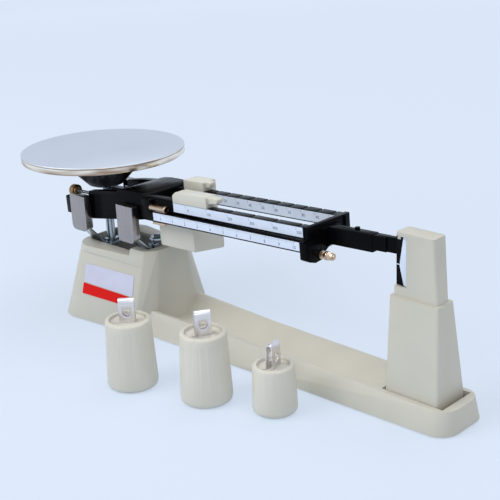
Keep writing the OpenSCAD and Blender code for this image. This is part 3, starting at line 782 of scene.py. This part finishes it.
@dataclass(frozen=True)
class FrontLabel:
    """Blank label with a red band under it, on the housing's sloping front wall.

    Attributes:
        label_mm: The label's lower left, lower right, upper left and upper right corner.
        band_mm: The band's corners, in the same order.
        thick_mm: Thickness of both.
        corner_mm: Radius of their corners.
    """

    label_mm: tuple[tuple[float, float], ...] = ((0.4, 10.8), (61.5, 9.4), (0.2, 28.2),
                                                 (60.4, 28.2))
    band_mm: tuple[tuple[float, float], ...] = ((0.0, 0.0), (54.0, 0.0), (0.0, 9.9),
                                                (57.2, 8.7))
    thick_mm: float = 0.35
    corner_mm: float = 0.5

    def _wall(self) -> Matrix:
        """Finds the wall that carries the label.

        Returns:
            The frame at the lower left corner of the CAD plate, facing out.
        """
        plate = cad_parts["label_plate"].data
        front = max((p for p in plate.polygons if p.normal.y < -0.5), key=lambda p: p.area)
        out = front.normal.normalized()
        reach = max(v.co.dot(out) for v in plate.vertices)
        corners = [v.co for v in plate.vertices if v.co.dot(out) > reach - 0.1 * MM]
        low_left = min(corners, key=lambda c: c.x + c.z)
        low_right = max(corners, key=lambda c: c.x - c.z)
        along = (low_right - low_left).normalized()
        base = low_left - out * self.thick_mm * MM
        turn = Matrix((along, out.cross(along), out)).transposed().to_4x4()
        return Matrix.Translation(base) @ turn

    def build(self) -> None:
        """Makes both fields."""
        wall = self._wall()
        for name, corners, look in (("blank_label", self.label_mm, Look.LABEL_WHITE),
                                    ("label_band", self.band_mm, Look.LABEL_RED)):
            corners_m = [(a * MM, b * MM) for a, b in corners]
            piece = Bench.sheet(corners_m, self.thick_mm * MM, self.corner_mm * MM)
            piece.name = piece.data.name = name
            piece.data.transform(wall)
            Bench.settle(piece, look)
            Bench.hand_over(piece, "base", "white",
                            ["label_plate"] if look is Look.LABEL_WHITE else ())


@dataclass(frozen=True)
class DialBacking:
    """Black sheet behind the dial's white field, with the white zero line.

    Attributes:
        left_mm: How far the sheet stands out to the left of the white field's point.
        right_mm: How far it goes to the right of that point.
        thick_mm: Its thickness.
        corner_mm: Radius of its corners.
        zero_mm: Height of the zero line above the table.
        line_mm: Start and end of the line, from the sheet's left edge.
        line_half_mm: Half the line's width.
        ink_mm: How far the line stands out.
    """

    left_mm: float = 3.4
    right_mm: float = 6.0
    thick_mm: float = 0.5
    corner_mm: float = 0.4
    zero_mm: float = 114.0
    line_mm: tuple[float, float] = (0.2, 3.6)
    line_half_mm: float = 0.3
    ink_mm: float = 0.05

    def build(self) -> None:
        """Makes the sheet and the line, directly behind the white field."""
        low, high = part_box("dial_plate")
        wide = (self.left_mm + self.right_mm) * MM
        tall, thick = high.z - low.z, self.thick_mm * MM
        left = low.x - self.left_mm * MM
        sheet = Bench.sheet(((0, 0), (wide, 0), (0, tall), (wide, tall)), thick,
                            self.corner_mm * MM)
        sheet.data.transform(Bench.upright(Vector((left, high.y + thick, low.z))))
        sheet.name = sheet.data.name = "dial_backing"
        Bench.settle(sheet, Look.DIAL_BLACK)
        Bench.hand_over(sheet, "base", "black_trim")
        start, end, half = (v * MM for v in (*self.line_mm, self.line_half_mm))
        line = Bench.sheet(((start, -half), (end, -half), (start, half), (end, half)),
                           self.ink_mm * MM)
        line.data.transform(Bench.upright(Vector((left, high.y, self.zero_mm * MM))))
        line.name = line.data.name = "zero_line"
        Bench.settle(line, Look.SCALE_WHITE)
        Bench.hand_over(line, "base", "white")


# Studio


@dataclass(frozen=True)
class Lamp:
    """A soft square lamp.

    Attributes:
        name: Its name.
        at_m: Where it hangs, from the point below the pivot.
        aim_m: What it points at.
        size_m: Its side.
        watts: Its power.
    """

    name: str
    at_m: tuple[float, float, float]
    aim_m: tuple[float, float, float]
    size_m: float
    watts: float

    def build(self) -> None:
        """Hangs the lamp."""
        data = bpy.data.lights.new(self.name, "AREA")
        data.shape = "SQUARE"
        data.size = self.size_m
        data.energy = self.watts
        lamp = bpy.data.objects.new(self.name, data)
        lamp.location = FOOT + Vector(self.at_m)
        aim = Vector(self.aim_m) - Vector(self.at_m)
        lamp.rotation_euler = aim.to_track_quat("-Z", "Y").to_euler()
        bpy.context.scene.collection.objects.link(lamp)


# The middle of the lever, from the point below the pivot
LEVER_MIDDLE_M = (0.08, 0.0, 0.07)


@dataclass(frozen=True)
class Studio:
    """Camera, light and the pale sweep that the object stands on.

    Attributes:
        eye_mm: The camera's place, from the point below the pivot.
        azimuth_deg: Its direction, seen from above.
        down_deg: How far it looks down.
        roll_deg: How far it leans.
        focal_px: Focal length, for a frame of frame_px.
        frame_px: Width of the frame.
        sensor_mm: Width of the sensor.
        clip_m: Nearest and farthest distance that it sees.
        backdrop: Colour of the sweep and of what is seen past it.
        daylight: Colour of the surroundings as light.
        daylight_level: Their strength.
        sweep_m: Side of the sweep.
        paper_glow: Share of the sweep that shows its own colour, whatever falls on it.
        paper_span_m: Distances between which the glow rises.
        paper_far: The glow's strength at the far one.
        lamps: The lamps.
    """

    eye_mm: tuple[float, float, float] = (698.6, -570.6, 378.5)
    azimuth_deg: float = 45.47
    down_deg: float = 19.52
    roll_deg: float = -2.79
    focal_px: float = 1050.0
    frame_px: float = 500.0
    sensor_mm: float = 36.0
    clip_m: tuple[float, float] = (0.01, 50.0)
    backdrop: Colour = linear(221, 233, 249)
    daylight: Colour = (0.93, 0.95, 1.0)
    daylight_level: float = 0.47
    sweep_m: float = 12.0
    paper_glow: float = 0.6
    paper_span_m: tuple[float, float] = (0.4, 2.6)
    paper_far: float = 1.3
    lamps: tuple[Lamp, ...] = (
        Lamp("key", (-0.7, -1.3, 1.5), LEVER_MIDDLE_M, 1.3, 19.5),
        Lamp("fill", (1.5, -0.6, 1.2), LEVER_MIDDLE_M, 1.5, 3.5),
        Lamp("top", (0.1, 0.5, 1.8), LEVER_MIDDLE_M, 1.6, 11.0),
        Lamp("glint", (1.05, -0.95, 0.45), (0.0, 0.0, 0.1), 0.14, 0.6),
    )

    def camera(self) -> None:
        """Makes the camera from the fitted view."""
        a, e, r = (math.radians(v) for v in (self.azimuth_deg, self.down_deg, self.roll_deg))
        ahead = Vector((-math.sin(a) * math.cos(e), math.cos(a) * math.cos(e), -math.sin(e)))
        right = Vector((math.cos(a), math.sin(a), 0.0))
        up = right.cross(ahead)
        right_rolled = right * math.cos(r) + up * math.sin(r)
        up_rolled = up * math.cos(r) - right * math.sin(r)
        turn = Matrix((right_rolled, up_rolled, -ahead)).transposed()
        lens = bpy.data.cameras.new("view")
        lens.sensor_width = self.sensor_mm
        lens.lens = self.focal_px / self.frame_px * self.sensor_mm
        lens.clip_start, lens.clip_end = self.clip_m
        view = bpy.data.objects.new("view", lens)
        view.matrix_world = Matrix.Translation(FOOT + Vector(self.eye_mm) * MM) @ turn.to_4x4()
        bpy.context.scene.collection.objects.link(view)
        bpy.context.scene.camera = view

    def world(self) -> None:
        """Makes pale surroundings: full to the camera and in gloss, softer as light."""
        world = bpy.data.worlds.new("surroundings")
        bpy.context.scene.world = world
        world.use_nodes = True
        tree = world.node_tree
        tree.nodes.clear()
        out = tree.nodes.new("ShaderNodeOutputWorld")
        seen = tree.nodes.new("ShaderNodeBackground")
        lit = tree.nodes.new("ShaderNodeBackground")
        mix = tree.nodes.new("ShaderNodeMixShader")
        path = tree.nodes.new("ShaderNodeLightPath")
        seen.inputs["Color"].default_value = (*self.backdrop, 1.0)
        seen.inputs["Strength"].default_value = 1.0
        lit.inputs["Color"].default_value = (*self.daylight, 1.0)
        lit.inputs["Strength"].default_value = self.daylight_level
        last = path.outputs["Is Camera Ray"]
        for kind in ("Is Glossy Ray", "Is Transmission Ray"):
            most = tree.nodes.new("ShaderNodeMath")
            most.operation = "MAXIMUM"
            tree.links.new(last, most.inputs[0])
            tree.links.new(path.outputs[kind], most.inputs[1])
            last = most.outputs[0]
        tree.links.new(last, mix.inputs[0])
        tree.links.new(lit.outputs[0], mix.inputs[1])
        tree.links.new(seen.outputs[0], mix.inputs[2])
        tree.links.new(mix.outputs[0], out.inputs["Surface"])

    def sweep(self) -> None:
        """Makes the pale sheet that the object stands on."""
        Bench.nothing_selected()
        bpy.ops.mesh.primitive_plane_add(size=self.sweep_m, location=(0, 0, 0))
        floor = bpy.context.active_object
        floor.name = "sweep"
        bench = ShaderBench("sweep_paper")
        tree, shader = bench.tree, bench.shader
        bench.set(Base_Color=self.backdrop, Roughness=0.9, Specular_IOR_Level=0.0)
        x, y = bench.axis("X"), bench.axis("Y")
        near_m, far_m = self.paper_span_m
        level = bench.span((x * x + y * y).root(), near_m, far_m, 1.0, self.paper_far)
        glow = bench.node("ShaderNodeEmission", {}, {"Color": self.backdrop,
                                                     "Strength": level})
        seen, mirrored, passed = (bench.node("ShaderNodeLightPath", {}, {}, kind) for kind in (
            "Is Camera Ray", "Is Glossy Ray", "Is Transmission Ray"))
        mix = tree.nodes.new("ShaderNodeMixShader")
        bench.feed(mix.inputs[0], (seen + mirrored + passed).clamp() * self.paper_glow)
        tree.links.new(shader.outputs[0], mix.inputs[1])
        bench.feed(mix.inputs[2], glow)
        tree.links.new(mix.outputs[0], tree.nodes["Material Output"].inputs["Surface"])
        floor.data.materials.append(bench.material)

    def build(self) -> None:
        """Makes the whole studio."""
        bpy.context.scene.view_settings.view_transform = "Standard"
        self.camera()
        self.world()
        self.sweep()
        for lamp in self.lamps:
            lamp.build()


# Sub-assemblies


@dataclass(frozen=True)
class SubAssembly:
    """Pieces that ride on one body.

    Attributes:
        body: The body.
        parts: Its carried-over pieces.
    """

    body: str
    parts: tuple[Part, ...]

    def build(self) -> None:
        """Finishes the carried-over pieces and adds the new ones."""
        for part in self.parts:
            part.build(self.body)
        self.add()

    def add(self) -> None:
        """Makes the pieces that the CAD model doesn't have."""


@dataclass(frozen=True)
class Stand(SubAssembly):
    """Base casting, pointer tower and the fixed parts of the main bearing.

    Attributes:
        label: The label on the front wall.
        dial: The backing of the dial.
    """

    body: str = "base"
    parts: tuple[Part, ...] = (
        Part("base_casting", "cream_cast", Look.BASE_CREAM, 0.9),
        Part("rubber_feet", "rubber", Look.RUBBER, 0.3),
        Part("tower_casting", "cream_cast", Look.BASE_CREAM, 0.6),
        Part("tower_screws", "steel", Look.ZINC, 0.1),
        Part("stop_pads", "rubber", Look.RUBBER, 0.1),
        Part("dial_plate", "white", Look.SCALE_WHITE, 0.05),
        Part("dial_back", "black_trim", Look.DIAL_BLACK, 0.05),
        Part("damper_magnets", "magnet", Look.MAGNET, 0.2),
        Part("stand_strap", "steel", Look.ZINC, 0.25),
        Part("stand_bolt", "steel", Look.BOLT, 0.2),
        Part("stand_nut", "steel", Look.ZINC, 0.25),
        Part("link_bracket", "steel", Look.ZINC, 0.2),
        Part("base_pin", "steel", Look.ZINC, 0.2),
        Part("main_bearings", "agate", Look.AGATE, 0.15),
        Part("main_covers", "chrome", Look.COVER, 0.7),
    )
    label: FrontLabel = FrontLabel()
    dial: DialBacking = DialBacking()

    def add(self) -> None:
        """Makes the label and the dial's backing."""
        self.label.build()
        self.dial.build()


@dataclass(frozen=True)
class Lever(SubAssembly):
    """Lever casting with its knives, scales and pointer.

    Attributes:
        graduations: The marks and numerals of the front, middle and rear beam.
    """

    body: str = "beam"
    parts: tuple[Part, ...] = (
        Part("beam_casting", "black_cast", Look.BLACK_GLOSS, 0.45),
        Part("scale_front", "white", Look.SCALE_WHITE),
        Part("scale_middle", "white", Look.SCALE_WHITE),
        Part("scale_rear", "white", Look.SCALE_WHITE),
        Part("main_knives", "steel", Look.DARK_STEEL),
        Part("pan_knives", "steel", Look.DARK_STEEL),
        Part("hanger_stud", "nickel", Look.NICKEL, 0.2),
        Part("balance_rod", "steel", Look.ROD, 0.2),
        Part("arm_pin", "black_trim", Look.BLACK_GLOSS, 0.2),
        Part("damping_vane", "copper_vane", Look.DARK_STEEL, 0.1),
    )
    graduations: tuple[Graduation, ...] = (
        Graduation("scale_front", -29.95, 43.6, 15.28, tuple(str(n) for n in range(11)),
                   (3.6, 107.6, 0.0), 112.1, 10),
        Graduation("scale_middle", -25.45, 72.0, 24.7,
                   tuple(str(100 * n) for n in range(6)), (3.6, 118.2, 2.9), 122.3),
        Graduation("scale_rear", 11.55, 49.0, 14.7, tuple(str(10 * n) for n in range(11)),
                   (3.6, 118.3, 2.8), 122.3),
    )

    def add(self) -> None:
        """Makes the marks and numerals of the three beams."""
        for graduation in self.graduations:
            graduation.build()


@dataclass(frozen=True)
class ZeroKnob(SubAssembly):
    """Knurled knob on the balance rod."""

    body: str = "zero_knob"
    parts: tuple[Part, ...] = (Part("zero_knob", "brass", Look.BRASS, 0.15),)


@dataclass(frozen=True)
class PanCarrier(SubAssembly):
    """What hangs on the pan knives and carries the pan."""

    body: str = "pan_carrier"
    parts: tuple[Part, ...] = (
        Part("pan_stirrup", "steel", Look.ZINC, 0.25),
        Part("pan_bearings", "agate", Look.AGATE, 0.15),
        Part("pan_covers", "chrome", Look.COVER, 0.7),
        Part("pan_stem", "steel", Look.ZINC, 0.25),
        Part("stem_nut", "steel", Look.ZINC, 0.25),
        Part("pan_hub", "black_hub", Look.HUB_BLACK, 0.5),
        Part("stem_pin", "steel", Look.ZINC, 0.2),
    )


@dataclass(frozen=True)
class CheckLink(SubAssembly):
    """Hidden link that keeps the pan level."""

    body: str = "check_link"
    parts: tuple[Part, ...] = (Part("check_link", "steel", Look.ZINC, 0.2),)


@dataclass(frozen=True)
class Pan(SubAssembly):
    """The loose round pan."""

    body: str = "pan"
    parts: tuple[Part, ...] = (Part("pan_plate", "pan_steel", Look.PAN, 0.15),)


@dataclass(frozen=True)
class RearPoise(SubAssembly):
    """Sliding poise of the rear beam."""

    body: str = "poise_rear"
    parts: tuple[Part, ...] = (Part("poise_rear", "cream_weight", Look.WEIGHT_CREAM, 0.5),)


@dataclass(frozen=True)
class MiddlePoise(SubAssembly):
    """Sliding poise of the middle beam, with its hanging weight."""

    body: str = "poise_middle"
    parts: tuple[Part, ...] = (
        Part("poise_middle", "cream_weight", Look.WEIGHT_CREAM, 0.5),
        Part("poise_middle_block", "cream_weight", Look.WEIGHT_CREAM, 0.7),
    )


@dataclass(frozen=True)
class Rider(SubAssembly):
    """Small rider of the front beam."""

    body: str = "rider"
    parts: tuple[Part, ...] = (
        Part("rider_clip", "nickel", Look.NICKEL, 0.12),
        Part("rider_tube", "nickel", Look.NICKEL, 0.2),
    )


def attachment_weight(letter: str) -> SubAssembly:
    """Describes one of the three weights that hang on the end plate's stud in use.

    Args:
        letter: The last letter of its body's name.

    Returns:
        Its sub-assembly.
    """
    body = f"weight_{letter}"
    return SubAssembly(body, (
        Part(f"{body}_body", "cream_weight", Look.WEIGHT_CREAM),
        Part(f"{body}_loop", "steel", Look.LOOP, 0.2),
    ))


def main() -> None:
    """Builds the studio and every sub-assembly, and reports each piece."""
    logging.basicConfig(level=logging.INFO, format="%(name)s %(message)s")
    Studio().build()
    for assembly in (Stand(), Lever(), ZeroKnob(), PanCarrier(), CheckLink(), Pan(),
                     RearPoise(), MiddlePoise(), Rider(),
                     *(attachment_weight(letter) for letter in "abc")):
        assembly.build()


if __name__ == "__main__":
    main()
